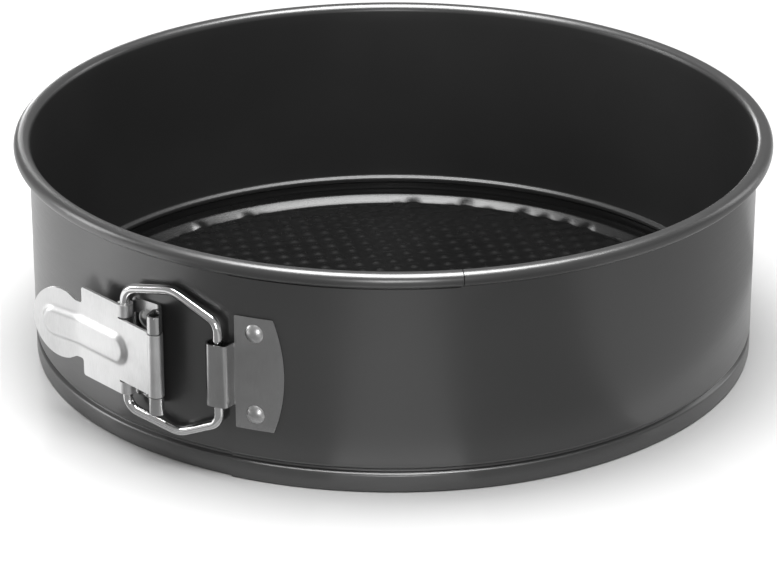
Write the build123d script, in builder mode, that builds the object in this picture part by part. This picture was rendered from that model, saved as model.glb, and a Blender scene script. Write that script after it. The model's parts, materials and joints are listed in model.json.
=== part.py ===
from build123d import *
import os
from math import atan, cos, radians, sin, sqrt, tan

# Springform pan, 9 inch. Millimetres, +Z up, origin at the centre of the foot circle.
# The latch faces -Y. Azimuths are degrees round +Z from -Y, positive towards +X.

os.makedirs("parts", exist_ok=True)

# ---- driving dimensions ----
INNER_RADIUS = 114.5      # 9 inch baking diameter
SHEET = 0.5               # steel of the band and of the base
HEIGHT = 71.5             # foot to top of the rolled rim
RIM_WIDTH = 5.3           # wall face to outermost edge of the roll
RIM_BEND = 2.1            # centreline radius of the roll
RIDGE_IN = 1.25           # how far the groove's upper ridge reaches inwards
RIDGE_TOP = 7.4
RIDGE_BOTTOM = 6.5
GROOVE_TOP = 8.15
LEDGE = 5.2
LIP_RADIUS = 110.6        # inner edge of the lip that carries the base

SEAM_AZ = 39.8            # where the two ends of the rolled rim meet
SEAM_GAP = 0.2            # half of the gap in the rim, degrees
FLAP_END_AZ = 5.4         # outer end of the band
FLAP_STEP = 0.55          # outer end rides this far out over the inner end
FLAP_TOP = 66.3
JOGGLE = 0.5              # degrees in which the outer end steps out

LATCH_Z = 34.6            # mid-height of the lever, its hinge, the loop and the strike's curl
STRIKE_Z = 35.4           # mid-height of the strike plate and its rivets
PIN_RADIUS = 1.5
PIN_RING = 122.2          # distance of the hinge pin from the pan's axis
PIN_AZ = -4.95
LEVER_LEAN = 13.0         # lever leans in towards the wall from the tangent at the pin
LEVER_SHEET = 0.85
FIT = 0.07                # radial running fit round pin and wire
EAR_REACH = 15.2          # hinge pin to the wire leg held in the ears, along the blade
BLADE_OFFSET = 1.0        # blade's mid-plane outwards from the hinge pin
BARREL_HALF = 10.1        # half-height of the lever's hinge barrel
BLADE_HALF = 14.5         # half-height of the lever's wide blade
BLADE_END = 33.4
TAB_RADIUS = 11.3
TAB_CENTRE = 42.9
TAB_BEND = 9.0            # finger tab turns out from the blade, degrees
NECK_HALF = 9.2

KNUCKLE_HALF = 15.9       # half-height of the hinge bracket
BRACKET_SHEET = 0.8
BRACKET_END_AZ = -12.0

WIRE_RADIUS = 1.5
STRIKE_LEG_RING = 118.1   # distance of the loop's strike-side leg from the pan's axis
STRIKE_LEG_AZ = 4.3
LOOP_APEX = 22.9          # wire centre above and below mid-height at the bend of the long bars
LOOP_LEVER_END = 19.3     # the same at the lever-side corner
LOOP_STRIKE_END = 16.2    # the same at the strike-side corner

STRIKE_SHEET = 0.6
STRIKE_LEFT_AZ = 6.45
STRIKE_HALF = 18.1
STRIKE_WIDTH = 12.2       # at top and bottom
STRIKE_BULGE = 3.3        # extra width at mid-height
CURL_HALF = 9.9
CURL_AZ = 4.7
CURL_SLOT = 3.9           # clear height of the curl, wall side to outer side
CURL_LEFT = -4.05         # inner left wall of the curl from CURL_AZ

RIVET_SPACING = 26.0
STRIKE_RIVET_AZ = 9.6
BRACKET_RIVET_AZ = -9.2
BRACKET_RIVET_SPACING = 20.0
RIVET_HEAD = 2.9
RIVET_DOME = 1.2
RIVET_SHANK = 1.5
RIVET_FOOT = 0.4          # flat head inside the pan on the bracket's rivets

WALL_MID = INNER_RADIUS + SHEET / 2
WALL_OUT = INNER_RADIUS + SHEET
FLAP_OUT = WALL_OUT + FLAP_STEP


def on_ring(radius, az, z=0.0):
    """Point at a distance from the pan's axis, on an azimuth."""
    return Vector(radius * sin(radians(az)), -radius * cos(radians(az)), z)


def upright(az, radius=0.0, z=0.0):
    """Level plane standing on an azimuth: local x runs to higher azimuth, local y runs outwards."""
    along = Vector(cos(radians(az)), sin(radians(az)), 0)
    return Plane(origin=on_ring(radius, az, z), x_dir=along, z_dir=(0, 0, -1))


def facing(az, radius, z):
    """Vertical plane facing outwards: local x to higher azimuth, local y up."""
    along = Vector(cos(radians(az)), sin(radians(az)), 0)
    return Plane(origin=on_ring(radius, az, z), x_dir=along, z_dir=on_ring(1, az))


def half_plane(az):
    """Vertical plane through the pan's axis: local x runs outwards, local y up."""
    outwards = on_ring(1, az)
    return Plane(origin=(0, 0, 0), x_dir=outwards, z_dir=outwards.cross(Vector(0, 0, 1)))


def groove_points(step, foot):
    """Centreline from the wall down through the groove that holds the base, one sheet or the next one out."""
    wall = WALL_MID + step
    ridge = wall - RIDGE_IN
    drop = step * tan(atan(RIDGE_IN / (GROOVE_TOP - RIDGE_TOP)) / 2)
    rise = step * tan(atan(RIDGE_IN / (RIDGE_BOTTOM - LEDGE)) / 2)
    return [(wall, GROOVE_TOP - drop), (ridge, RIDGE_TOP - drop), (ridge, RIDGE_BOTTOM + rise),
            (wall, LEDGE + rise), (wall, foot)]


# ---- wall band: one strip with a rolled rim, a groove near the foot, and lapped ends ----
rim_high = HEIGHT - SHEET / 2
rim_low = rim_high - 2 * RIM_BEND - 0.02
rim_out = WALL_MID + RIM_WIDTH - SHEET
with BuildPart() as wall_band:
    with BuildSketch(half_plane(SEAM_AZ + SEAM_GAP)):
        with BuildLine():
            FilletPolyline((WALL_MID + 1.4, rim_low), (rim_out, rim_low), (rim_out, rim_high), (WALL_MID, rim_high),
                           *groove_points(0, SHEET / 2), (LIP_RADIUS, SHEET / 2),
                           radius=[RIM_BEND, RIM_BEND, RIM_BEND, 1.0, 0.45, 0.45, 0.7, 0.6])
        trace(line_width=SHEET)
    revolve(axis=Axis.Z, revolution_arc=360 - 2 * SEAM_GAP)
    with BuildSketch(half_plane(FLAP_END_AZ)):
        with BuildLine():
            FilletPolyline((WALL_MID + FLAP_STEP, FLAP_TOP), *groove_points(FLAP_STEP, 0.1),
                           radius=[1.0, 0.3, 0.3, 0.7])
        trace(line_width=SHEET)
    revolve(axis=Axis.Z, revolution_arc=SEAM_AZ + 2 * JOGGLE - FLAP_END_AZ)
    with BuildSketch(half_plane(SEAM_AZ + JOGGLE)):
        with Locations((WALL_MID + FLAP_STEP / 2, (FLAP_TOP + GROOVE_TOP + 1) / 2)):
            Rectangle(SHEET + FLAP_STEP, FLAP_TOP - GROOVE_TOP - 1)
    revolve(axis=Axis.Z, revolution_arc=JOGGLE)
    with Locations(*[facing(STRIKE_RIVET_AZ, WALL_OUT + 1.53, STRIKE_Z + side * RIVET_SPACING / 2)
                     for side in (-1, 1)]):
        Cylinder(RIVET_SHANK, 3, mode=Mode.SUBTRACT)
    with Locations(*[facing(BRACKET_RIVET_AZ, WALL_MID, LATCH_Z + side * BRACKET_RIVET_SPACING / 2)
                     for side in (-1, 1)]):
        Cylinder(RIVET_SHANK, 3, mode=Mode.SUBTRACT)
wall_band.part.label = "wall_band"
export_step(wall_band.part, "parts/wall_band.step")

# ---- base plate: raised edge with a turned-down skirt that stands on the band's lip ----
EDGE_RADIUS = 113.85
EDGE_Z = 3.15
FLOOR_RADIUS = 105.4
CREST_RADIUS = 108.9
FLOOR_Z = 1.05
with BuildPart() as base_plate:
    with BuildSketch(Plane.XZ):
        with BuildLine():
            FilletPolyline((0, FLOOR_Z), (FLOOR_RADIUS, FLOOR_Z), (CREST_RADIUS, EDGE_Z), (EDGE_RADIUS, EDGE_Z),
                           (EDGE_RADIUS, SHEET), radius=[1.5, 1.2, 0.8])
        trace(line_width=SHEET)
        with Locations((EDGE_RADIUS, SHEET / 2)):
            Rectangle(2, SHEET, mode=Mode.SUBTRACT)
        with Locations((-1, FLOOR_Z)):
            Rectangle(2, 2, mode=Mode.SUBTRACT)
    revolve(axis=Axis.Z)
base_plate.part.label = "base_plate"
export_step(base_plate.part, "parts/base_plate.step")

# ---- lever: hinge barrel, blade with two ears round the wire, finger tab bent outwards ----
lever_dir = 180 + PIN_AZ - LEVER_LEAN
along_lever = Vector(cos(radians(lever_dir)), sin(radians(lever_dir)), 0)
pin_axis = on_ring(PIN_RING, PIN_AZ)
lever_top = Plane(origin=pin_axis + Vector(0, 0, LATCH_Z), x_dir=along_lever, z_dir=(0, 0, 1))
lever_face = Plane(origin=pin_axis + Vector(0, 0, LATCH_Z), x_dir=along_lever,
                   z_dir=Vector(0, 0, 1).cross(along_lever))
bore = PIN_RADIUS + FIT
skin = bore + LEVER_SHEET
wire_behind = bore + LEVER_SHEET / 2 - BLADE_OFFSET
blade_root = sqrt((bore + LEVER_SHEET / 2) ** 2 - BLADE_OFFSET ** 2)
tab_start = BLADE_END + 1.5
tab_length = TAB_CENTRE + TAB_RADIUS - tab_start
tab_tip = (tab_start + tab_length * cos(radians(TAB_BEND)), BLADE_OFFSET + tab_length * sin(radians(TAB_BEND)))
with BuildPart() as lever:
    with BuildSketch(lever_top):
        with BuildLine():
            FilletPolyline((blade_root, BLADE_OFFSET), (tab_start, BLADE_OFFSET), tab_tip, radius=18)
        trace(line_width=LEVER_SHEET)
        with Locations((tab_tip[0] + 1.5, tab_tip[1])):
            Circle(1.0, mode=Mode.SUBTRACT)
    extrude(amount=BLADE_HALF, both=True)
    with BuildSketch(lever_face.offset(-5)):
        with Locations((6, 0)):
            Rectangle(20, 2 * BARREL_HALF)
        with Locations(((EAR_REACH + BLADE_END) / 2, 0)):
            Rectangle(BLADE_END - EAR_REACH, 2 * BLADE_HALF)
        with BuildLine():
            Polyline((BLADE_END - 1, NECK_HALF), (tab_start + 1.5, NECK_HALF), (TAB_CENTRE - 3, TAB_RADIUS - 0.4),
                     (TAB_CENTRE - 3, -TAB_RADIUS + 0.4), (tab_start + 1.5, -NECK_HALF),
                     (BLADE_END - 1, -NECK_HALF), (BLADE_END - 1, NECK_HALF))
        make_face()
        with Locations((TAB_CENTRE, 0)):
            Circle(TAB_RADIUS)
    extrude(amount=20, mode=Mode.INTERSECT)
    with BuildSketch(lever_top):
        Circle(skin)
        Circle(bore, mode=Mode.SUBTRACT)
    extrude(amount=BARREL_HALF, both=True)
    for side in (-1, 1):
        with BuildSketch(lever_top.offset(side * (BARREL_HALF + 0.4))):
            with Locations((EAR_REACH, -wire_behind)):
                Circle(skin)
                Circle(bore, mode=Mode.SUBTRACT)
        extrude(amount=side * (BLADE_HALF - BARREL_HALF - 0.4))
lever.part.label = "lever"
export_step(lever.part, "parts/lever.step")

# ---- hinge pin, fixed in the bracket's knuckles ----
with BuildPart() as hinge_pin:
    with BuildSketch(lever_top.offset(-KNUCKLE_HALF)):
        Circle(PIN_RADIUS)
    extrude(amount=2 * KNUCKLE_HALF - 1.2)
    chamfer(hinge_pin.edges().filter_by(GeomType.CIRCLE), length=0.3)
hinge_pin.part.label = "hinge_pin"
export_step(hinge_pin.part, "parts/hinge_pin.step")

# ---- hinge bracket: plate on the wall, slanting web, one knuckle above and one below the lever ----
bracket_top = upright(PIN_AZ, PIN_RING, LATCH_Z)
knuckle_mid = PIN_RADIUS + BRACKET_SHEET / 2
wall_y = WALL_OUT + BRACKET_SHEET / 2 - PIN_RING
web_foot = (-3.1, wall_y + 0.25)
web_head = (knuckle_mid * cos(radians(-42.0)), knuckle_mid * sin(radians(-42.0)))
with BuildPart() as hinge_bracket:
    with BuildSketch(Plane.XY.offset(LATCH_Z - KNUCKLE_HALF)):
        Circle(WALL_OUT + BRACKET_SHEET)
        Circle(WALL_OUT, mode=Mode.SUBTRACT)
    extrude(amount=2 * KNUCKLE_HALF)
    with BuildSketch(facing((BRACKET_END_AZ - 6.3) / 2, WALL_OUT - 4, LATCH_Z)):
        plate_width = (WALL_OUT + BRACKET_SHEET) * radians(-6.3 - BRACKET_END_AZ)
        RectangleRounded(plate_width, 2 * KNUCKLE_HALF, 1.6)
    extrude(amount=10, mode=Mode.INTERSECT)
    with BuildSketch(bracket_top):
        with BuildLine():
            FilletPolyline((-5.0, wall_y - 0.02), (-3.4, wall_y + 0.02), web_head, radius=0.9)
        trace(line_width=BRACKET_SHEET)
    extrude(amount=KNUCKLE_HALF, both=True)
    with BuildSketch(bracket_top):
        Circle(PIN_RADIUS + BRACKET_SHEET + 0.75)
        with Locations((0, 3)):
            Rectangle(12, 8)
    extrude(amount=BARREL_HALF + 0.3, both=True, mode=Mode.SUBTRACT)
    for side in (-1, 1):
        with BuildSketch(bracket_top.offset(side * (BARREL_HALF + 0.3))):
            Circle(PIN_RADIUS + BRACKET_SHEET)
            Circle(PIN_RADIUS, mode=Mode.SUBTRACT)
            with BuildLine():
                tail = (-knuckle_mid - 0.55, -2.9)
                ThreePointArc((-knuckle_mid, 0), (-knuckle_mid - 0.35, -1.5), tail)
                ThreePointArc(tail, (tail[0] + 0.6, -3.6), (tail[0] + 1.3, -2.9))
            trace(line_width=BRACKET_SHEET * 0.6)
        extrude(amount=side * (KNUCKLE_HALF - BARREL_HALF - 0.3))
    with Locations(*[facing(BRACKET_RIVET_AZ, WALL_OUT, LATCH_Z + side * BRACKET_RIVET_SPACING / 2)
                     for side in (-1, 1)]):
        Cylinder(RIVET_SHANK, 6, mode=Mode.SUBTRACT)
hinge_bracket.part.label = "hinge_bracket"
export_step(hinge_bracket.part, "parts/hinge_bracket.step")

# ---- wire loop: a bent ring, one leg in the lever's ears and one in the strike's curl ----
lever_leg = pin_axis + along_lever * EAR_REACH - Vector(0, 0, 1).cross(along_lever) * wire_behind
strike_leg = on_ring(STRIKE_LEG_RING, STRIKE_LEG_AZ)
across = strike_leg - lever_leg
span = across.length
loop_plane = Plane(origin=lever_leg + Vector(0, 0, LATCH_Z), x_dir=across,
                   z_dir=across.cross(Vector(0, 0, 1)))
with BuildPart() as wire_loop:
    with BuildLine(loop_plane) as loop_path:
        FilletPolyline((0, LOOP_LEVER_END), (0.52 * span, LOOP_APEX), (span, LOOP_STRIKE_END),
                       (span, -LOOP_STRIKE_END), (0.57 * span, -LOOP_APEX), (0, -LOOP_LEVER_END),
                       radius=[5.0, 9.0, 4.5, 4.5, 8.0, 4.5], close=True)
    with BuildSketch(Plane(origin=loop_path.line @ 0, z_dir=loop_path.line % 0)):
        Circle(WIRE_RADIUS)
    sweep(path=loop_path.line)
wire_loop.part.label = "wire_loop"
export_step(wire_loop.part, "parts/wire_loop.step")

# ---- strike plate: bulged plate on the outer end of the band, with a curl round the wire ----
curl_top = upright(CURL_AZ, 0, LATCH_Z)
curl_bend = (CURL_SLOT + STRIKE_SHEET) / 2
curl_in = FLAP_OUT + 0.03 + STRIKE_SHEET / 2
curl_mid = curl_in + curl_bend
curl_out = curl_mid + curl_bend
curl_x = CURL_LEFT + CURL_SLOT / 2
plate_x = FLAP_OUT * radians(STRIKE_LEFT_AZ - CURL_AZ)
with BuildPart() as strike_plate:
    with BuildSketch(Plane.XY.offset(STRIKE_Z - STRIKE_HALF)):
        Circle(FLAP_OUT + STRIKE_SHEET)
        Circle(FLAP_OUT, mode=Mode.SUBTRACT)
    extrude(amount=2 * STRIKE_HALF)
    with BuildSketch(facing(STRIKE_LEFT_AZ, FLAP_OUT - 8, STRIKE_Z)) as strike_outline:
        with BuildLine():
            Polyline((STRIKE_WIDTH, STRIKE_HALF), (0, STRIKE_HALF), (0, -STRIKE_HALF), (STRIKE_WIDTH, -STRIKE_HALF))
            ThreePointArc((STRIKE_WIDTH, -STRIKE_HALF), (STRIKE_WIDTH + STRIKE_BULGE, 0), (STRIKE_WIDTH, STRIKE_HALF))
        make_face()
        fillet(strike_outline.vertices().group_by(Axis.X)[-1], radius=1.5)
        fillet(strike_outline.vertices().sort_by(Axis.X)[:2], radius=0.6)
    extrude(amount=14, mode=Mode.INTERSECT)
    with BuildSketch(curl_top):
        with BuildLine():
            Line((1.4, curl_in), (curl_x, curl_in))
            CenterArc((curl_x, curl_mid), curl_bend, 90, 180)
            FilletPolyline((curl_x, curl_out), (2.3, curl_out), (plate_x - 0.25, curl_in + 0.02),
                           (plate_x + 1.2, curl_in - 0.03), radius=[1.5, 0.5])
        trace(line_width=STRIKE_SHEET)
    extrude(amount=CURL_HALF, both=True)
    with Locations(*[facing(STRIKE_RIVET_AZ, FLAP_OUT, STRIKE_Z + side * RIVET_SPACING / 2) for side in (-1, 1)]):
        Cylinder(RIVET_SHANK, 6, mode=Mode.SUBTRACT)
strike_plate.part.label = "strike_plate"
export_step(strike_plate.part, "parts/strike_plate.step")


# ---- rivets: domed head outside, shank, and where the band is single a flat head inside ----
def rivet(name, az, z, seat, shank_end, foot):
    dome = (RIVET_HEAD ** 2 + RIVET_DOME ** 2) / (2 * RIVET_DOME)
    foot_face = INNER_RADIUS - 0.05
    with BuildPart() as pin:
        with BuildSketch(Plane(origin=on_ring(0, az, z), x_dir=on_ring(1, az), z_dir=(0, 0, 1))):
            with BuildLine():
                Line((shank_end, 0), (seat + RIVET_DOME, 0))
                RadiusArc((seat + RIVET_DOME, 0), (seat, RIVET_HEAD), -dome)
                if foot:
                    Polyline((seat, RIVET_HEAD), (seat, RIVET_SHANK), (foot_face, RIVET_SHANK),
                             (foot_face, RIVET_HEAD), (shank_end, RIVET_HEAD), (shank_end, 0))
                else:
                    Polyline((seat, RIVET_HEAD), (seat, RIVET_SHANK), (shank_end, RIVET_SHANK), (shank_end, 0))
            make_face()
        revolve(axis=Axis((0, 0, z), on_ring(1, az)))
    pin.part.label = name
    export_step(pin.part, f"parts/{name}.step")


for name, side in (("upper", 1), ("lower", -1)):
    rivet(f"strike_rivet_{name}", STRIKE_RIVET_AZ, STRIKE_Z + side * RIVET_SPACING / 2,
          FLAP_OUT + STRIKE_SHEET, WALL_OUT + 0.08, False)
    rivet(f"bracket_rivet_{name}", BRACKET_RIVET_AZ, LATCH_Z + side * BRACKET_RIVET_SPACING / 2,
          WALL_OUT + BRACKET_SHEET, INNER_RADIUS - RIVET_FOOT, True)
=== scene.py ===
import json
from collections import Counter
from math import acos, atan2, ceil, cos, floor, hypot, pi, radians, sin, sqrt, tan

import bmesh
import bpy
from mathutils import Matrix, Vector
from mathutils.geometry import delaunay_2d_cdt


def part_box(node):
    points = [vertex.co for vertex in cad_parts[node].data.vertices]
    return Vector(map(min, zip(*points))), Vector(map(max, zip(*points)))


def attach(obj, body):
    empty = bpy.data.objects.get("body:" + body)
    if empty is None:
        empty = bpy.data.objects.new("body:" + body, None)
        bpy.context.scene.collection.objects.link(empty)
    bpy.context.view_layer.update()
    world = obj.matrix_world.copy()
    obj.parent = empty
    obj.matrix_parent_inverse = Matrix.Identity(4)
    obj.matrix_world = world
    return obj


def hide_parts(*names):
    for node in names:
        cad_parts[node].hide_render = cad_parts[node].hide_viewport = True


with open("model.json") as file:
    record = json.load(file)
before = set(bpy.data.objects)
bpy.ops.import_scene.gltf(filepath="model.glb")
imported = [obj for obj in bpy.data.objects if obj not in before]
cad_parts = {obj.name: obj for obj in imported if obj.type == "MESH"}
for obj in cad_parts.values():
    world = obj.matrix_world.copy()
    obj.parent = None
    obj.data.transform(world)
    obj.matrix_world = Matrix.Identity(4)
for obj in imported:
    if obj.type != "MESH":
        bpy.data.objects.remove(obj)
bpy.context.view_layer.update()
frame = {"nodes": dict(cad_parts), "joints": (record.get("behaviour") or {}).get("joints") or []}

# Springform pan: lapped wall band, embossed base, and a wire latch. Lengths are millimetres until a
# mesh is made. Azimuths are degrees round +Z from -Y, positive towards +X, as in the CAD model.
# A bent sheet is drawn flat, with s along it and h up it, and then laid along its bent section.

MM = 0.001
joints = {joint["name"]: joint for joint in frame["joints"]}

# ---- sizes that come from the frame ----
BAND_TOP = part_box("wall_band")[1].z / MM
RIM_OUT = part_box("wall_band")[1].x / MM
PIN = Vector(joints["lever_hinge"]["pos_m"]) / MM
LEVER_LEG = Vector(joints["loop_hinge"]["pos_m"]) / MM

# ---- wall band ----
SHEET = 0.5
RIM_WIDTH = 5.3
RIM_BEND = 2.1
RIM_CURL = 1.4            # how far the rim's free end stays from the middle of the wall
WALL_MID = RIM_OUT - RIM_WIDTH + SHEET / 2
RIDGE_IN = 1.25
RIDGE_TOP = 7.4
RIDGE_BOTTOM = 6.5
GROOVE_TOP = 8.15
LEDGE = 5.6
LIP_RADIUS = 110.6
INSIDE_TOP = BAND_TOP - 1.2    # the inner finish ends here, on the rim's bend
INSIDE_DEPTH = 0.6        # it reaches this far outside the wall's middle, so over the lapped end too
SEAM_AZ = 39.8
SEAM_GAP = 0.06           # degrees from the middle of the rim's seam to each end
FLAP_END_AZ = 5.4
FLAP_STEP = 0.55          # how far the outer, lapped end stands out from the wall
FLAP_TOP = 66.74
FLAP_LIP = 0.8            # how far the lapped end follows the lip inwards
STEP_FADE = 38.0          # degrees over which the lapped end settles back to the wall's radius
STEP_START = 2.0          # below FLAP_TOP, where the step begins to ease out under the rim
STEP_RISE = 2.4           # height in which it does so
BAND_COLUMN = 1.2         # degrees between columns of the mesh
BAND_ROW = 4.0

# ---- base plate ----
HUB_RADIUS = 0.6          # the grid of the disc ends here, and one face closes it
EDGE_RADIUS = 113.85
EDGE_Z = 3.15
FLOOR_Z = 1.05
FLOOR_RADIUS = 105.4
CREST_RADIUS = 108.9
WAFFLE_PITCH = 5.9
WAFFLE_AZ = 42.5
WAFFLE_HEIGHT = 0.62
WAFFLE_RADIUS = 105.8
DULLED_RADIUS = 105.2
DULLED_FADE = 1.2
DULLED = 0.62             # shine left on the embossed floor
BASE_COLUMNS = 560
BASE_ROW = 0.9

# ---- latch ----
LATCH_Z = PIN.z
STRIKE_Z = (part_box("strike_plate")[0].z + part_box("strike_plate")[1].z) / 2 / MM
PIN_RADIUS = 1.5
FIT = 0.07
LEVER_SHEET = 0.85
BARREL_HALF = 10.1
EAR_SLOT = 0.5
BLADE_HALF = 14.5
BLADE_END = 33.4
BLADE_OFFSET = 1.0
NECK_HALF = 9.2
TAB_START = BLADE_END + 1.5
TAB_CENTRE = 42.9
TAB_RADIUS = 11.3
TAB_JOIN = 108.0          # degrees round the tab's arc, from its tip to the neck
TAB_BEND = 9.0
TAB_BEND_RADIUS = 18.0
WRAP = 300.0              # degrees that a curled edge goes round its pin or wire
WRAP_STEPS = 40
RIB_START = 12.3
RIB_END = 49.6
RIB_HALF = 4.4
RIB_HEIGHT = 1.3
RIB_SLOPE = 2.0

BRACKET_SHEET = 0.8
KNUCKLE_HALF = 15.9
KNUCKLE_START = -42       # degrees round the pin at which the web meets the knuckle
KNUCKLE_END = 181
KNUCKLE_STEP = 8
BRACKET_LEFT_AZ = -12.0
BRACKET_BEND_AZ = -7.2
WEB_START = -3.3          # this and the four below are measured from the pin
TAIL_OUT = -2.55
TAIL_IN = -1.15
TAIL_BACK = -3.6
TAIL_TIP = -2.8
BARREL_ROOM = 1.35        # room round the lever's barrel in the bracket's window

WIRE_RADIUS = 1.5
STRIKE_LEG_RING = 118.1
STRIKE_LEG_AZ = 4.3
WIRE_SIDES = 24
WIRE_STEP = 3.0
LOOP_APEX = 22.9
UPPER_APEX = 0.52         # share of the span at which the loop is tallest, and the same below
LOWER_APEX = 0.57
LOOP_LEVER_END = 19.3
LOOP_STRIKE_END = 16.2
LOOP_BENDS = [5.0, 9.0, 4.5, 4.5, 8.0, 4.5]

STRIKE_SHEET = 0.6
STRIKE_LEFT_AZ = 6.45
STRIKE_SPAN = 8.0         # degrees of the wall that the plate can follow
STRIKE_HALF = 18.1
STRIKE_WIDTH = 12.2
STRIKE_BULGE = 3.3
STRIKE_CORNER = 0.9
CURL_HALF = 9.9
CURL_AZ = 4.7
CURL_SLOT = 3.9
CURL_LEFT = -4.05
CURL_LEAF = 1.4           # where the curl's free edge ends behind the wire
CURL_FRONT = 2.3          # where its front turns back to the plate
CURL_EASE = 0.25          # how far before the plate's edge its front meets the wall
CURL_FOOT = 0.6           # degrees from the plate's edge to the end of the curl's foot

WALL_OUT = WALL_MID + SHEET / 2
FLAP_OUT = WALL_OUT + FLAP_STEP

# ---- meshes ----
BEND_STEP = 2.0
WELD = 1e-7
INNER_GAP = 0.45          # of the spacing, from a sheet's edge to its first inner point
LEVER_GRID = 0.7
BRACKET_GRID = 0.9
STRIKE_GRID = 0.8
ARC_POINTS = 24


# ---- lines and points ----
def on_ring(radius, az, z=0.0):
    """Point at a distance from the pan's axis, on an azimuth."""
    return Vector((radius * sin(radians(az)), -radius * cos(radians(az)), z))


def ease(t):
    """Smooth step from 0 to 1."""
    t = min(max(t, 0.0), 1.0)
    return t * t * (3 - 2 * t)


def rounded(corners, radii, turn=10.0, closed=False):
    """Points of a line through 2-D corners, with an arc at each corner that has a radius."""
    corners = [Vector(c) for c in corners]
    radii = list(radii) if closed else [0, *radii, 0]
    points = []
    for k, (corner, radius) in enumerate(zip(corners, radii)):
        if radius == 0:
            points.append(corner)
            continue
        back = (corners[k - 1] - corner).normalized()
        ahead = (corners[(k + 1) % len(corners)] - corner).normalized()
        half = back.angle(ahead) / 2
        centre = corner + (back + ahead).normalized() * radius / sin(half)
        first = corner + back * radius / tan(half) - centre
        last = corner + ahead * radius / tan(half) - centre
        sweep = pi - 2 * half
        steps = max(2, ceil(sweep / radians(turn)))
        for i in range(steps + 1):
            share = i / steps
            mixed = first * sin((1 - share) * sweep) + last * sin(share * sweep)
            points.append(centre + mixed / sin(sweep))
    return points


def spaced(points, step, closed=False):
    """The same line with points added, so that none are further apart than step."""
    ends = points[1:] + points[:1] if closed else points[1:]
    made = []
    for a, b in zip(points, ends):
        pieces = max(1, ceil((b - a).length / step))
        made += [a.lerp(b, i / pieces) for i in range(pieces)]
    return made if closed else made + [points[-1]]


def side_of(points, k):
    """Unit normal at a point of a 2-D line, on its left."""
    along = (points[min(k + 1, len(points) - 1)] - points[max(k - 1, 0)]).normalized()
    return Vector((-along.y, along.x))


class Bend:
    """A bent line seen along its sheet's edge. at(s) is the place and the normal at a length s along it."""

    def __init__(self, points, zero=0.0):
        self.points = spaced(points, BEND_STEP)
        self.normals = [side_of(self.points, k) for k in range(len(self.points))]
        self.lengths = [-zero]
        for a, b in zip(self.points, self.points[1:]):
            self.lengths.append(self.lengths[-1] + (b - a).length)

    def at(self, s):
        k = 0
        while k < len(self.lengths) - 2 and self.lengths[k + 1] < s:
            k += 1
        share = (s - self.lengths[k]) / (self.lengths[k + 1] - self.lengths[k])
        place = self.points[k] + (self.points[k + 1] - self.points[k]) * share
        share = min(max(share, 0.0), 1.0)
        return place, self.normals[k].lerp(self.normals[k + 1], share).normalized()


def length_of(points):
    """Length of a line through points."""
    return sum((b - a).length for a, b in zip(points, points[1:]))


# ---- meshes ----
def piece(name, vertices, faces, materials, body, slot, *nodes, sharp=35.0, bevel=0.0):
    """Mesh object from millimetre points, which rides on a body and stands for its CAD nodes."""
    mesh = bpy.data.meshes.new(name)
    mesh.from_pydata([v * MM for v in vertices], [], faces)
    shape = bmesh.new()
    shape.from_mesh(mesh)
    bmesh.ops.remove_doubles(shape, verts=shape.verts, dist=WELD)
    bmesh.ops.recalc_face_normals(shape, faces=shape.faces)
    shape.to_mesh(mesh)
    shape.free()
    for polygon in mesh.polygons:
        polygon.use_smooth = True
    mesh.set_sharp_from_angle(angle=radians(sharp))
    for material in materials:
        mesh.materials.append(material)
    made = bpy.data.objects.new(name + "_visual", mesh)
    bpy.context.scene.collection.objects.link(made)
    if bevel:
        edge = made.modifiers.new("edge", "BEVEL")
        edge.width = bevel * MM
        edge.segments = 2
        edge.limit_method = "ANGLE"
        edge.angle_limit = radians(50)
    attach(made, body)
    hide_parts(*nodes)
    return made


def shell(rows, columns, place, shown, closed):
    """Two-sided sheet over a grid: place(i, j, side) is a corner, shown(i, j) says if a cell exists."""
    vertices = []
    for side in (1, -1):
        vertices += [place(i, j, side) for i in range(rows) for j in range(columns)]
    layer = rows * columns
    wide = columns if closed else columns - 1

    def corners(i, j):
        k = (j + 1) % columns
        return [i * columns + j, i * columns + k, (i + 1) * columns + k, (i + 1) * columns + j]

    cells = [(i, j) for i in range(rows - 1) for j in range(wide) if shown(i, j)]
    faces = []
    edges = Counter()
    for i, j in cells:
        face = corners(i, j)
        faces.append(face)
        for a, b in zip(face, face[1:] + face[:1]):
            edges[min(a, b), max(a, b)] += 1
    faces += [[v + layer for v in reversed(face)] for face in faces]
    faces += [[a, b, b + layer, a + layer] for (a, b), uses in edges.items() if uses == 1]
    used = sorted({v for face in faces for v in face})
    order = {v: n for n, v in enumerate(used)}
    return [vertices[v] for v in used], [[order[v] for v in face] for face in faces]


def inside(point, outline):
    """True if a 2-D point is inside a closed outline."""
    odd = False
    for a, b in zip(outline, outline[1:] + outline[:1]):
        if (a.y > point.y) != (b.y > point.y):
            odd ^= point.x < a.x + (point.y - a.y) / (b.y - a.y) * (b.x - a.x)
    return odd


def gap(point, outline):
    """Distance from a 2-D point to a closed outline."""
    nearest = 1e9
    for a, b in zip(outline, outline[1:] + outline[:1]):
        along = b - a
        share = min(max((point - a).dot(along) / along.length_squared, 0.0), 1.0)
        nearest = min(nearest, (a + along * share - point).length)
    return nearest


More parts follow.
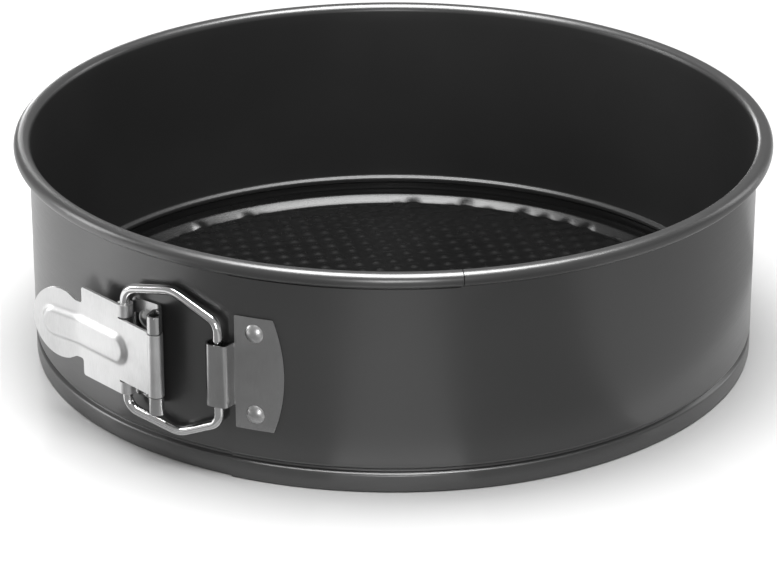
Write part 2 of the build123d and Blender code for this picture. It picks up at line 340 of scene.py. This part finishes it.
def bent_sheet(outline, thickness, spacing, place):
    """Solid of a cut and bent sheet. place(s, h) is the middle of the sheet there and its normal."""
    corners = spaced(outline, spacing, closed=True)
    low_s, high_s = min(p.x for p in corners), max(p.x for p in corners)
    low_h, high_h = min(p.y for p in corners), max(p.y for p in corners)
    inner = []
    for row in range(1, floor((high_h - low_h) / spacing)):
        for column in range(floor((high_s - low_s) / spacing) + 1):
            point = Vector((low_s + (column + row % 2 / 2) * spacing, low_h + row * spacing))
            if inside(point, outline) and gap(point, outline) > spacing * INNER_GAP:
                inner.append(point)
    edge = list(range(len(corners)))
    flat, _, triangles, *_ = delaunay_2d_cdt(corners + inner, [], [edge], 1, 1e-5)
    middles = [place(p.x, p.y) for p in flat]
    vertices = [middle + normal * thickness / 2 for middle, normal in middles]
    vertices += [middle - normal * thickness / 2 for middle, normal in middles]
    layer = len(flat)
    edges = Counter()
    for face in triangles:
        for a, b in zip(face, face[1:] + face[:1]):
            edges[min(a, b), max(a, b)] += 1
    faces = [list(face) for face in triangles]
    faces += [[v + layer for v in reversed(face)] for face in triangles]
    faces += [[a, b, b + layer, a + layer] for (a, b), uses in edges.items() if uses == 1]
    return vertices, faces


def plane_place(origin, across, outwards):
    """Function that takes a 2-D point and a height to a 3-D point."""
    return lambda point, height: origin + across * point.x + outwards * point.y + Vector((0, 0, height))


# ---- materials ----
class Finish:
    """A node material: a Principled shader with a few texture chains in object coordinates."""

    def __init__(self, name, **numbers):
        self.material = bpy.data.materials.new(name)
        self.material.use_nodes = True
        self.nodes = self.material.node_tree.nodes
        self.links = self.material.node_tree.links
        self.shader = self.nodes["Principled BSDF"]
        for socket, value in numbers.items():
            self.shader.inputs[socket.replace("_", " ")].default_value = value
        self.place = self.nodes.new("ShaderNodeTexCoord").outputs["Object"]
        self.normal = None

    def link(self, start, end):
        self.links.new(start, end)

    def noise(self, scale, detail=4.0, stretch=(1, 1, 1), turn=0.0, roughness=0.55):
        mapping = self.nodes.new("ShaderNodeMapping")
        mapping.inputs["Rotation"].default_value = (0, 0, radians(turn))
        mapping.inputs["Scale"].default_value = stretch
        self.link(self.place, mapping.inputs["Vector"])
        texture = self.nodes.new("ShaderNodeTexNoise")
        texture.inputs["Scale"].default_value = scale
        texture.inputs["Detail"].default_value = detail
        texture.inputs["Roughness"].default_value = roughness
        self.link(mapping.outputs["Vector"], texture.inputs["Vector"])
        return texture.outputs["Fac"]

    def ranged(self, value, low, high, to_low, to_high):
        node = self.nodes.new("ShaderNodeMapRange")
        node.inputs["From Min"].default_value = low
        node.inputs["From Max"].default_value = high
        node.inputs["To Min"].default_value = to_low
        node.inputs["To Max"].default_value = to_high
        self.link(value, node.inputs["Value"])
        return node.outputs["Result"]

    def sum(self, a, b):
        node = self.nodes.new("ShaderNodeMath")
        self.link(a, node.inputs[0])
        self.link(b, node.inputs[1])
        return node.outputs["Value"]

    def colours(self, value, *stops):
        ramp = self.nodes.new("ShaderNodeValToRGB")
        ramp.color_ramp.elements[0].position = stops[0][0]
        ramp.color_ramp.elements[1].position = stops[-1][0]
        for position, _ in stops[1:-1]:
            ramp.color_ramp.elements.new(position)
        for element, (_, colour) in zip(ramp.color_ramp.elements, stops):
            element.color = (*colour, 1)
        self.link(value, ramp.inputs["Fac"])
        self.link(ramp.outputs["Color"], self.shader.inputs["Base Color"])

    def from_origin(self):
        """Distance from the object's origin, in metres."""
        node = self.nodes.new("ShaderNodeVectorMath")
        node.operation = "LENGTH"
        self.link(self.place, node.inputs[0])
        return node.outputs["Value"]

    def rough(self, value, low, high):
        self.link(self.ranged(value, 0.3, 0.7, low, high), self.shader.inputs["Roughness"])

    def bump(self, value, depth):
        node = self.nodes.new("ShaderNodeBump")
        node.inputs["Distance"].default_value = depth * MM
        node.inputs["Strength"].default_value = 1.0
        self.link(value, node.inputs["Height"])
        if self.normal:
            self.link(self.normal, node.inputs["Normal"])
        self.normal = node.outputs["Normal"]
        self.link(self.normal, self.shader.inputs["Normal"])


def grey(level):
    """Neutral colour."""
    return (level, level, level)


def coating(name, level, roughness, specular, ior=1.5, dull_inside=None):
    """Baked non-stick coating: dark satin grey with fine flake, soft cloudiness and faint rubbed lines.

    Inside the radius dull_inside it has less shine, because the strong top light would whiten it.
    """
    made = Finish(name, Specular_IOR_Level=specular, IOR=ior)
    flake = made.noise(5200, detail=2.0, roughness=0.7)
    cloud = made.noise(9, detail=3.0)
    rubbed = made.noise(260, detail=3.0, stretch=(0.35, 0.35, 9.0))
    mixed = made.sum(made.ranged(flake, 0.25, 0.75, 0.0, 0.5), made.ranged(cloud, 0.3, 0.7, 0.0, 0.5))
    made.colours(mixed, (0.15, grey(level * 0.78)), (0.5, grey(level)), (0.85, grey(level * 1.28)))
    made.rough(made.sum(made.ranged(cloud, 0.3, 0.7, 0.35, 0.5), made.ranged(rubbed, 0.3, 0.7, 0.0, 0.15)),
               roughness - 0.05, roughness + 0.07)
    made.bump(flake, 0.006)
    made.bump(rubbed, 0.0012)
    if dull_inside:
        low = (dull_inside - DULLED_FADE) * MM
        high = (dull_inside + DULLED_FADE) * MM
        shine = made.ranged(made.from_origin(), low, high, specular * DULLED, specular)
        made.link(shine, made.shader.inputs["Specular IOR Level"])
    return made.material


def steel(name, level, roughness, turn=0.0, stretch=(14, 14, 0.5)):
    """Bare sheet or wire steel with drawn grain, soft tarnish and small scratches."""
    made = Finish(name, Metallic=1.0)
    grain = made.noise(700, detail=5.0, stretch=stretch, turn=turn, roughness=0.6)
    tarnish = made.noise(55, detail=4.0)
    pits = made.noise(1500, detail=2.0)
    mixed = made.sum(made.ranged(grain, 0.25, 0.75, 0.0, 0.5), made.ranged(tarnish, 0.3, 0.7, 0.0, 0.5))
    made.colours(mixed, (0.1, grey(level * 0.8)), (0.5, grey(level)), (0.9, grey(level * 1.12)))
    made.rough(made.sum(made.ranged(tarnish, 0.3, 0.7, 0.4, 0.55), made.ranged(pits, 0.3, 0.7, 0.0, 0.1)),
               roughness - 0.05, roughness + 0.08)
    made.bump(grain, 0.004)
    made.bump(pits, 0.003)
    return made.material


outer_coating = coating("coating_outside", 0.012, 0.3, 0.6, ior=1.8)
inner_coating = coating("coating_inside", 0.022, 0.32, 0.6)
base_coating = coating("coating_base", 0.003, 0.25, 0.7, dull_inside=DULLED_RADIUS)
lever_finish = steel("lever_satin", 0.62, 0.36, turn=22)
bracket_finish = steel("bracket_steel", 0.5, 0.2)
wire_finish = steel("wire_steel", 0.7, 0.1, stretch=(6, 6, 1.2))
strike_finish = steel("strike_steel", 0.42, 0.22)
rivet_finish = steel("rivet_steel", 0.5, 0.3, stretch=(3, 3, 3))
pin_finish = steel("pin_steel", 0.5, 0.24, stretch=(2, 2, 14))


# ---- wall band ----
def band_profile():
    """Half-section of the band, from the free end of the rolled rim to the inner edge of the lip."""
    high = BAND_TOP - SHEET / 2
    low = high - 2 * RIM_BEND - 0.02
    out = RIM_OUT - SHEET / 2
    ridge = WALL_MID - RIDGE_IN
    corners = [(WALL_MID + RIM_CURL, low), (out, low), (out, high), (WALL_MID, high), (WALL_MID, GROOVE_TOP),
               (ridge, RIDGE_TOP), (ridge, RIDGE_BOTTOM), (WALL_MID, LEDGE), (WALL_MID, SHEET / 2),
               (LIP_RADIUS, SHEET / 2)]
    radii = [RIM_BEND, RIM_BEND, RIM_BEND, 1.0, 0.45, 0.45, 0.7, 0.6]
    return spaced(rounded(corners, radii), BAND_ROW)


def make_band():
    profile = band_profile()
    normals = [side_of(profile, k) for k in range(len(profile))]
    first = min(k for k, point in enumerate(profile) if point.y <= FLAP_TOP)
    last = max(k for k, point in enumerate(profile) if point.x > WALL_MID - FLAP_LIP)
    rim_start = SEAM_AZ + SEAM_GAP
    rim_end = SEAM_AZ - SEAM_GAP + 360
    count = ceil((rim_end - rim_start) / BAND_COLUMN)
    azimuths = [rim_start + (rim_end - rim_start) * j / count for j in range(count + 1)]
    lap = ceil((rim_start - FLAP_END_AZ) / BAND_COLUMN)
    azimuths = [FLAP_END_AZ + (rim_start - FLAP_END_AZ) * j / lap for j in range(lap)] + azimuths

    def place(i, j, side):
        az = azimuths[j]
        settle = 1.0 if az <= rim_start else 1 - ease((az - rim_start) / STEP_FADE)
        below_rim = 1 - ease((profile[i].y - FLAP_TOP + STEP_START) / STEP_RISE)
        if az < rim_start:
            below_rim = 1.0
        point = profile[i] - normals[i] * side * SHEET / 2
        return on_ring(point.x + FLAP_STEP * settle * below_rim, az, point.y)

    def shown(i, j):
        return j >= lap or first <= i < last

    vertices, faces = shell(len(profile), len(azimuths), place, shown, closed=False)
    band = piece("wall_band", vertices, faces, [outer_coating, inner_coating], "ring", "band_coating",
                 "wall_band")
    furthest = (WALL_MID + INSIDE_DEPTH) * MM
    for polygon in band.data.polygons:
        centre = polygon.center
        distance = hypot(centre.x, centre.y)
        towards_axis = polygon.normal.x * centre.x + polygon.normal.y * centre.y < 0
        if towards_axis and distance < furthest and centre.z < INSIDE_TOP * MM:
            polygon.material_index = 1
    return band


# ---- base plate ----
def waffle(x, y):
    """Height of the embossed pattern at a point of the floor."""
    turn = radians(WAFFLE_AZ)
    u = (x * cos(turn) + y * sin(turn)) * 2 * pi / WAFFLE_PITCH
    v = (y * cos(turn) - x * sin(turn)) * 2 * pi / WAFFLE_PITCH
    cell_u = round(u / (2 * pi)) * WAFFLE_PITCH
    cell_v = round(v / (2 * pi)) * WAFFLE_PITCH
    if hypot(cell_u, cell_v) > WAFFLE_RADIUS:
        return 0.0
    return WAFFLE_HEIGHT * ((1 + cos(u)) * (1 + cos(v)) / 4) ** 0.8


def make_base():
    corners = [(HUB_RADIUS, FLOOR_Z), (FLOOR_RADIUS, FLOOR_Z), (CREST_RADIUS, EDGE_Z), (EDGE_RADIUS, EDGE_Z),
               (EDGE_RADIUS, SHEET)]
    profile = spaced(rounded(corners, [1.5, 1.2, 0.8]), BASE_ROW)
    normals = [side_of(profile, k) for k in range(len(profile))]

    def place(i, j, side):
        az = 360 * j / BASE_COLUMNS
        point = profile[i] + normals[i] * side * SHEET / 2
        middle = on_ring(point.x, az, point.y)
        middle.z += waffle(middle.x, middle.y)
        return middle

    vertices, faces = shell(len(profile), BASE_COLUMNS, place, lambda i, j: True, closed=True)
    hub = {v for v, point in enumerate(vertices) if hypot(point.x, point.y) < HUB_RADIUS * 1.1}
    top = [v for v in sorted(hub) if vertices[v].z > FLOOR_Z + waffle(vertices[v].x, vertices[v].y)]
    under = [v for v in sorted(hub) if v not in top]
    faces = [face for face in faces if not set(face) <= hub]
    return piece("base_plate", vertices, [*faces, top, under[::-1]], [base_coating], "ring",
                 "base_coating", "base_plate")


# ---- lever ----
def lever_frame():
    """Directions along the blade and out of its face, and how far along it the wire leg is held."""
    leg = LEVER_LEG - PIN
    behind = PIN_RADIUS + FIT + LEVER_SHEET / 2 - BLADE_OFFSET
    reach = sqrt(leg.length_squared - behind ** 2)
    turn = atan2(leg.y, leg.x) + atan2(behind, reach)
    along = Vector((cos(turn), sin(turn), 0))
    return along, Vector((0, 0, 1)).cross(along), reach, behind


def lever_outline(reach, barrel, ear):
    """Flat outline: a barrel strip between two ears, the blade, and the round finger tab."""
    slot = BARREL_HALF + EAR_SLOT
    half = [(-barrel, BARREL_HALF), (reach + 0.6, BARREL_HALF), (reach + 0.6, slot), (reach - ear, slot),
            (reach - ear, BLADE_HALF), (BLADE_END, BLADE_HALF), (BLADE_END, NECK_HALF),
            (TAB_START + 1.5, NECK_HALF)]
    turns = [radians(TAB_JOIN) * (1 - i / ARC_POINTS) for i in range(2 * ARC_POINTS + 1)]
    tab = [Vector((TAB_CENTRE + TAB_RADIUS * cos(turn), TAB_RADIUS * sin(turn))) for turn in turns]
    upper = rounded([*half, tab[0]], [0.2, 0.2, 0.3, 0.5, 0.9, 0.9, 2.0])
    lower = [Vector((p.x, -p.y)) for p in reversed(upper[:-1])]
    return upper[:-1] + tab + lower


def make_lever():
    along, outwards, reach, behind = lever_frame()
    curl = PIN_RADIUS + FIT + LEVER_SHEET / 2
    tip = TAB_CENTRE + TAB_RADIUS - TAB_START
    lean = radians(TAB_BEND)
    blade_end = [(TAB_START, BLADE_OFFSET),
                 (TAB_START + tip * cos(lean), BLADE_OFFSET + tip * sin(lean))]
    turns = [radians(WRAP) * (1 - i / WRAP_STEPS) for i in range(WRAP_STEPS + 1)]
    root = acos(-BLADE_OFFSET / curl) - pi / 2
    barrel = [Vector((curl * cos(root + turn), curl * sin(root + turn))) for turn in turns]
    barrel_path = rounded([barrel[-1], *blade_end], [TAB_BEND_RADIUS])
    barrel_length = length_of(barrel)
    barrel_bend = Bend(barrel[:-1] + barrel_path, barrel_length - barrel[-1].x)
    ear = [Vector((reach - curl * sin(turn), curl * cos(turn) - behind)) for turn in turns]
    ear_path = rounded([ear[-1], *blade_end], [TAB_BEND_RADIUS])
    ear_length = length_of(ear)
    ear_bend = Bend(ear[:-1] + ear_path, ear_length - reach)
    to_world = plane_place(PIN, along, outwards)

    def place(s, h):
        bend = ear_bend if abs(h) > BARREL_HALF + EAR_SLOT / 2 else barrel_bend
        middle, normal = bend.at(s)
        off = hypot(max(RIB_START + RIB_HALF - s, 0, s - RIB_END + RIB_HALF), h)
        middle = middle + normal * RIB_HEIGHT * ease((RIB_HALF + RIB_SLOPE / 2 - off) / RIB_SLOPE)
        return to_world(middle, h), along * normal.x + outwards * normal.y

    outline = lever_outline(reach, barrel_length - barrel[-1].x, ear_length)
    vertices, faces = bent_sheet(outline, LEVER_SHEET, LEVER_GRID, place)
    return piece("lever", vertices, faces, [lever_finish], "lever", "lever_steel", "lever", bevel=0.16)


# ---- plates bent along the wall ----
def wall_line(radius, start_az, end_az, seen_az, lift=0.0):
    """Points of a level circle between two azimuths, in the plane that stands on a third one."""
    steps = max(2, ceil(abs(end_az - start_az)))
    azimuths = [start_az + (end_az - start_az) * i / steps - seen_az for i in range(steps + 1)]
    return [Vector((radius * sin(radians(a)), radius * cos(radians(a)) - lift)) for a in azimuths]


def along_bend(bend, az, radius, height):
    """place(s, h) for a sheet that follows a bend in the plane on an azimuth."""
    across = Vector((cos(radians(az)), sin(radians(az)), 0))
    outwards = on_ring(1, az)
    to_world = plane_place(on_ring(radius, az, height), across, outwards)

    def place(s, h):
        middle, normal = bend.at(s)
        return to_world(middle, h), across * normal.x + outwards * normal.y

    return place


def make_bracket():
    pin_az = atan2(PIN.x, -PIN.y) * 180 / pi
    pin_ring = hypot(PIN.x, PIN.y)
    knuckle = PIN_RADIUS + BRACKET_SHEET / 2
    wall_y = WALL_OUT + BRACKET_SHEET / 2 - pin_ring
    plate = wall_line(WALL_OUT + BRACKET_SHEET / 2, BRACKET_LEFT_AZ, BRACKET_BEND_AZ, pin_az, pin_ring)
    start = radians(KNUCKLE_START)
    turn_in = [plate[-1], (WEB_START, wall_y), (knuckle * cos(start), knuckle * sin(start))]
    web = rounded(turn_in, [1.1])
    turns = [radians(a) for a in range(KNUCKLE_START + KNUCKLE_STEP, KNUCKLE_END, KNUCKLE_STEP)]
    eye = [Vector((knuckle * cos(turn), knuckle * sin(turn))) for turn in turns]
    tail = rounded([eye[-1], (TAIL_OUT, TAIL_BACK), (TAIL_IN, TAIL_BACK), (TAIL_IN, TAIL_TIP)],
                   [0.7, 0.65])
    zero = length_of(plate)
    bend = Bend(plate[:-1] + web + eye + tail[1:], zero)
    web_end = length_of(web)
    total = length_of(plate[:-1] + web + eye + tail[1:]) - zero
    clear = web_end - sqrt((knuckle + BARREL_ROOM) ** 2 - knuckle ** 2)
    inner = BARREL_HALF + 0.3
    corners = [(-zero, -KNUCKLE_HALF), (-zero, KNUCKLE_HALF), (total, KNUCKLE_HALF), (total, inner),
               (clear, inner), (clear, -inner), (total, -inner), (total, -KNUCKLE_HALF)]
    outline = rounded(corners, [1.6, 1.6, 0.4, 0.4, 0.5, 0.5, 0.4, 0.4], closed=True)
    place = along_bend(bend, pin_az, pin_ring, LATCH_Z)
    vertices, faces = bent_sheet(outline, BRACKET_SHEET, BRACKET_GRID, place)
    return piece("hinge_bracket", vertices, faces, [bracket_finish], "ring", "bracket_steel",
                 "hinge_bracket", bevel=0.14)


def make_strike():
    bend_radius = (CURL_SLOT + STRIKE_SHEET) / 2
    curl_in = FLAP_OUT + 0.03 + STRIKE_SHEET / 2
    curl_out = curl_in + 2 * bend_radius
    left = CURL_LEFT + CURL_SLOT / 2 - bend_radius
    plate_x = FLAP_OUT * radians(STRIKE_LEFT_AZ - CURL_AZ)
    ring = FLAP_OUT + STRIKE_SHEET / 2
    plate = wall_line(ring, STRIKE_LEFT_AZ + CURL_FOOT, STRIKE_LEFT_AZ + STRIKE_SPAN, CURL_AZ)
    curl = rounded([(CURL_LEAF, curl_in), (left, curl_in), (left, curl_out), (CURL_FRONT, curl_out),
                    (plate_x - CURL_EASE, curl_in), plate[0]],
                   [bend_radius - 0.01, bend_radius - 0.01, 1.5, 0.5], turn=8.0)
    zero = length_of(curl) - ring * radians(CURL_FOOT)
    bend = Bend(curl + plate[1:], zero)
    arc = (STRIKE_HALF ** 2 + STRIKE_BULGE ** 2) / (2 * STRIKE_BULGE)
    arc_top = STRIKE_HALF - STRIKE_CORNER
    heights = [arc_top * (1 - 2 * i / ARC_POINTS) for i in range(ARC_POINTS + 1)]
    bulge = [Vector((STRIKE_WIDTH + STRIKE_BULGE - arc + sqrt(arc ** 2 - h ** 2), h)) for h in heights]
    curl_top = LATCH_Z - STRIKE_Z + CURL_HALF
    curl_low = LATCH_Z - STRIKE_Z - CURL_HALF
    left_side = rounded([(STRIKE_WIDTH, -STRIKE_HALF), (0, -STRIKE_HALF), (0, curl_low), (-zero, curl_low),
                         (-zero, curl_top), (0, curl_top), (0, STRIKE_HALF), (STRIKE_WIDTH, STRIKE_HALF)],
                        [0.6, 0.35, 0.1, 0.1, 0.35, 0.6])
    place = along_bend(bend, CURL_AZ, 0, STRIKE_Z)
    vertices, faces = bent_sheet(left_side + bulge, STRIKE_SHEET, STRIKE_GRID, place)
    return piece("strike_plate", vertices, faces, [strike_finish], "ring", "strike_steel", "strike_plate",
                 bevel=0.18)


# ---- wire loop ----
def make_loop():
    strike_leg = on_ring(STRIKE_LEG_RING, STRIKE_LEG_AZ, LATCH_Z)
    across = strike_leg - LEVER_LEG
    span = across.length
    across.normalize()
    corners = [(0, LOOP_LEVER_END), (UPPER_APEX * span, LOOP_APEX), (span, LOOP_STRIKE_END),
               (span, -LOOP_STRIKE_END), (LOWER_APEX * span, -LOOP_APEX), (0, -LOOP_LEVER_END)]
    line = spaced(rounded(corners, LOOP_BENDS, closed=True), WIRE_STEP, closed=True)
    line = [p for p, q in zip(line, line[-1:] + line[:-1]) if (p - q).length > 0.02]
    thick = across.cross(Vector((0, 0, 1)))
    vertices = []
    for k, point in enumerate(line):
        forward = (line[(k + 1) % len(line)] - line[k - 1]).normalized()
        normal = across * -forward.y + Vector((0, 0, 1)) * forward.x
        middle = LEVER_LEG + across * point.x + Vector((0, 0, point.y))
        for i in range(WIRE_SIDES):
            angle = 2 * pi * i / WIRE_SIDES
            vertices.append(middle + (normal * cos(angle) + thick * sin(angle)) * WIRE_RADIUS)
    faces = []
    for k in range(len(line)):
        start, follow = k * WIRE_SIDES, (k + 1) % len(line) * WIRE_SIDES
        for i in range(WIRE_SIDES):
            j = (i + 1) % WIRE_SIDES
            faces.append([start + i, start + j, follow + j, follow + i])
    return piece("wire_loop", vertices, faces, [wire_finish], "loop", "wire_steel", "wire_loop", sharp=60)


def dress_cad_nodes():
    """The pin and the rivets keep their CAD meshes and get node materials."""
    finishes = {"hinge_pin": pin_finish}
    for name in ("strike_rivet", "bracket_rivet"):
        for side in ("upper", "lower"):
            finishes[f"{name}_{side}"] = rivet_finish
    for name, finish in finishes.items():
        node = frame["nodes"][name]
        node.data.materials.clear()
        node.data.materials.append(finish)


# ---- studio, in metres ----
FLOOR_REACH = 6.0
LIGHT_TARGET = (0, 0, 0.04)
CAMERA_LENS = 163.1
CAMERA_DISTANCE = 1.04    # from the pan's axis
CAMERA_AZ = 30.0
CAMERA_HEIGHT = 0.4738
CAMERA_TILT = 66.32
CAMERA_TURN = 30.084
CARD_HEIGHT = 0.0005
CARD_START = 0.122
CARD_NEAR = 0.142         # the part of a card beside the pan is lighter up to here
CARD_FAR = 2.5
CARD_STEP = 5.0           # degrees between the corners of its curved edges
NEAR_GAIN = 2.1
# each card's name, first and last azimuth, and grey
CARDS = [("left_card", -22, 20, 0.11), ("middle_card", 20, 42, 0.2), ("right_card", 42, 75, 0.105),
         ("side_card", 75, 145, 0.2)]


def floor_finish():
    made = Finish("floor", Specular_IOR_Level=0.5)
    made.colours(made.noise(3), (0.3, grey(0.425)), (0.7, grey(0.435)))
    made.rough(made.noise(6), 0.34, 0.4)
    return made.material


def make_floor():
    reach = FLOOR_REACH
    corners = [(-reach, -reach, 0), (reach, -reach, 0), (reach, reach, 0), (-reach, reach, 0)]
    mesh = bpy.data.meshes.new("floor")
    mesh.from_pydata(corners, [], [(0, 1, 2, 3)])
    mesh.materials.append(floor_finish())
    made = bpy.data.objects.new("floor", mesh)
    bpy.context.scene.collection.objects.link(made)


def reflector(name, start_az, end_az, near, far, level):
    """Grey card on the floor, hidden from the camera, that darkens what the pan reflects of the floor."""
    steps = ceil((end_az - start_az) / CARD_STEP)
    azimuths = [start_az + (end_az - start_az) * i / steps for i in range(steps + 1)]
    corners = [on_ring(radius, az, CARD_HEIGHT) for az in azimuths for radius in (near, far)]
    mesh = bpy.data.meshes.new(name)
    mesh.from_pydata(corners, [], [(2 * i, 2 * i + 1, 2 * i + 3, 2 * i + 2) for i in range(steps)])
    card = Finish(name, Roughness=1.0, Specular_IOR_Level=0.0)
    card.colours(card.noise(3), (0.3, grey(level * 0.97)), (0.7, grey(level * 1.03)))
    mesh.materials.append(card.material)
    made = bpy.data.objects.new(name, mesh)
    bpy.context.scene.collection.objects.link(made)
    made.visible_camera = False
    made.visible_diffuse = False
    made.visible_shadow = False


def softbox(name, az, distance, height, width, length, power):
    light = bpy.data.lights.new(name, "AREA")
    light.shape = "RECTANGLE"
    light.size, light.size_y = width, length
    light.energy = power
    made = bpy.data.objects.new(name, light)
    bpy.context.scene.collection.objects.link(made)
    made.location = on_ring(distance, az, height)
    to_pan = Vector(LIGHT_TARGET) - made.location
    made.rotation_euler = to_pan.to_track_quat("-Z", "Y").to_euler()


def make_studio():
    make_floor()
    for name, start_az, end_az, level in CARDS:
        reflector(name + "_near", start_az, end_az, CARD_START, CARD_NEAR, level * NEAR_GAIN)
        reflector(name, start_az, end_az, CARD_NEAR, CARD_FAR, level)
    world = bpy.data.worlds.new("studio")
    bpy.context.scene.world = world
    world.use_nodes = True
    sky = world.node_tree.nodes["Background"]
    sky.inputs["Color"].default_value = (1, 1, 1, 1)
    sky.inputs["Strength"].default_value = 0.38
    softbox("top_box", 30, 0.0, 1.9, 1.5, 1.5, 104)
    softbox("left_box", -68, 1.7, 0.55, 0.6, 0.9, 8)
    softbox("right_box", 150, 1.6, 0.55, 0.4, 0.9, 2.5)
    softbox("back_box", -134, 1.6, 0.3, 0.3, 0.5, 3)
    softbox("front_box", 31, 1.9, 0.42, 0.3, 0.7, 9)


def make_camera():
    """The photo's camera, fitted to the rim, wall and foot circles."""
    camera = bpy.data.cameras.new("camera")
    camera.lens = CAMERA_LENS
    camera.sensor_width = 36.0
    made = bpy.data.objects.new("camera", camera)
    bpy.context.scene.collection.objects.link(made)
    made.location = on_ring(CAMERA_DISTANCE, CAMERA_AZ, CAMERA_HEIGHT)
    made.rotation_euler = (radians(CAMERA_TILT), 0, radians(CAMERA_TURN))
    bpy.context.scene.camera = made


make_band()
make_base()
make_lever()
make_bracket()
make_strike()
make_loop()
dress_cad_nodes()
make_studio()
make_camera()
bpy.context.scene.view_settings.view_transform = "Standard"
